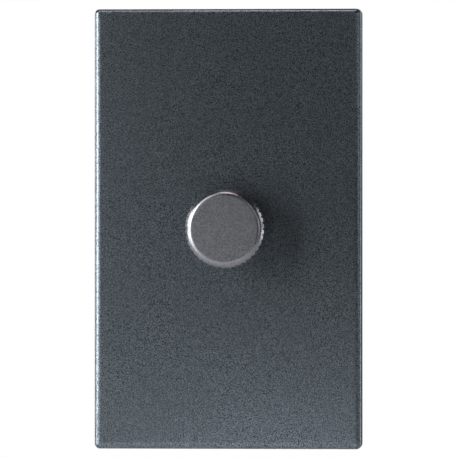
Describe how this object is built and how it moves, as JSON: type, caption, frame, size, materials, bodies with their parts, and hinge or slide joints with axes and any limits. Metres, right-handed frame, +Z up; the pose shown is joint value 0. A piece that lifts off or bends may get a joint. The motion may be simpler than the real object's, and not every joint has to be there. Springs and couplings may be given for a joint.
{
  "type": "rotary push dimmer switch with wall plate",
  "caption": "Tall screwless metal wall plate with a central knurled knob that turns to dim and pushes on or off, over a rear dimmer body for a wall box.",
  "frame": {"origin": "on the wall plane, in the middle of the wall box, on the axis of the control shaft", "axes": "+Z up the wall, +X to the right seen from the room, +Y into the wall, so the knob faces -Y"},
  "size_m": [0.07, 0.0482, 0.1152],
  "materials": {
    "plate_metal": "fine-grained dark blue-grey metallic lacquer, satin",
    "knob_metal": "fine-grained warm grey metallic lacquer, satin",
    "black_plastic": "moulded, fine spark texture",
    "grey_plastic": "moulded, satin",
    "white_plastic": "moulded acetal, satin",
    "foam": "closed-cell foam, matt",
    "aluminium": "stamped sheet, mill finish",
    "zinc_steel": "bright zinc plate",
    "green_steel": "green passivated zinc",
    "spring_steel": "spring steel, bright",
    "brass": "stamped and turned, bright",
    "copper": "enamelled copper wire and contact alloy",
    "circuit_board": "green solder resist over glass epoxy",
    "phenolic": "laminated phenolic sheet",
    "carbon": "printed carbon film",
    "ferrite": "pressed iron powder",
    "epoxy": "moulded epoxy",
    "mica": "insulating sheet",
    "film_yellow": "moulded box, satin",
    "resistor_blue": "lacquered ceramic",
    "glass": "clear tube"
  },
  "bodies": {
    "housing": {"faceplate": "plate_metal", "wall_gasket": "foam", "adapter_frame": "grey_plastic", "adapter_screw_upper": "zinc_steel", "adapter_screw_lower": "zinc_steel", "earth_spring": "spring_steel", "mounting_strap": "aluminium", "box_screw_upper": "zinc_steel", "box_screw_lower": "zinc_steel", "screw_retainer_upper": "white_plastic", "screw_retainer_lower": "white_plastic", "earth_screw": "green_steel", "control_bushing": "brass", "bushing_lock_washer": "spring_steel", "bushing_nut": "zinc_steel", "pot_can": "zinc_steel", "pot_wafer": "phenolic", "resistance_track": "carbon", "pot_terminal_1": "brass", "pot_terminal_2": "brass", "pot_terminal_3": "brass", "switch_base": "black_plastic", "return_spring": "spring_steel", "contact_pivot": "brass", "contact_fixed": "brass", "circuit_board": "circuit_board", "triac_tab": "aluminium", "triac_body": "epoxy", "triac_insulator": "mica", "triac_screw": "zinc_steel", "triac_nut": "zinc_steel", "choke_core": "ferrite", "choke_winding": "copper", "film_capacitor": "film_yellow", "resistor": "resistor_blue", "diac": "resistor_blue", "fuse_tube": "glass", "fuse_cap_upper": "zinc_steel", "fuse_cap_lower": "zinc_steel", "rear_case": "black_plastic", "terminal_plate_1": "brass", "terminal_plate_2": "brass", "terminal_plate_3": "brass", "terminal_screw_1": "brass", "terminal_screw_2": "brass", "terminal_screw_3": "brass", "case_screw_1": "zinc_steel", "case_screw_2": "zinc_steel", "case_screw_3": "zinc_steel", "case_screw_4": "zinc_steel"},
    "rotor": {"pot_rotor": "white_plastic", "wiper_contact": "spring_steel"},
    "knob": {"knob_shell": "knob_metal", "knob_hub": "black_plastic", "knob_ring_clip": "spring_steel", "control_shaft": "zinc_steel", "shaft_clip": "spring_steel"},
    "plunger": {"switch_plunger": "white_plastic"},
    "contact_arm": {"contact_arm": "copper"}
  },
  "joints": [
    {"name": "dimmer_turn", "type": "hinge", "parent": "housing", "child": "rotor", "pos_m": [0, 0, 0], "axis": [0, 1, 0], "range_deg": [0, 270]},
    {"name": "knob_push", "type": "slide", "parent": "rotor", "child": "knob", "axis": [0, 1, 0], "range_m": [0, 0.002], "stiffness_N_per_m": 500, "springref_m": -0.002},
    {"name": "plunger_travel", "type": "slide", "parent": "housing", "child": "plunger", "axis": [0, 1, 0], "range_m": [0, 0.002], "deforming": ["return_spring"]},
    {"name": "contact_arm_tilt", "type": "hinge", "parent": "housing", "child": "contact_arm", "pos_m": [-0.0049, 0.0127, 0.0053], "axis": [0, 0, 1], "range_deg": [0, 12.8]}
  ],
  "couplings": [
    {"joint": "plunger_travel", "follows": "knob_push", "ratio": 1},
    {"joint": "contact_arm_tilt", "follows": "knob_push", "rad_per_m": 110}
  ]
}
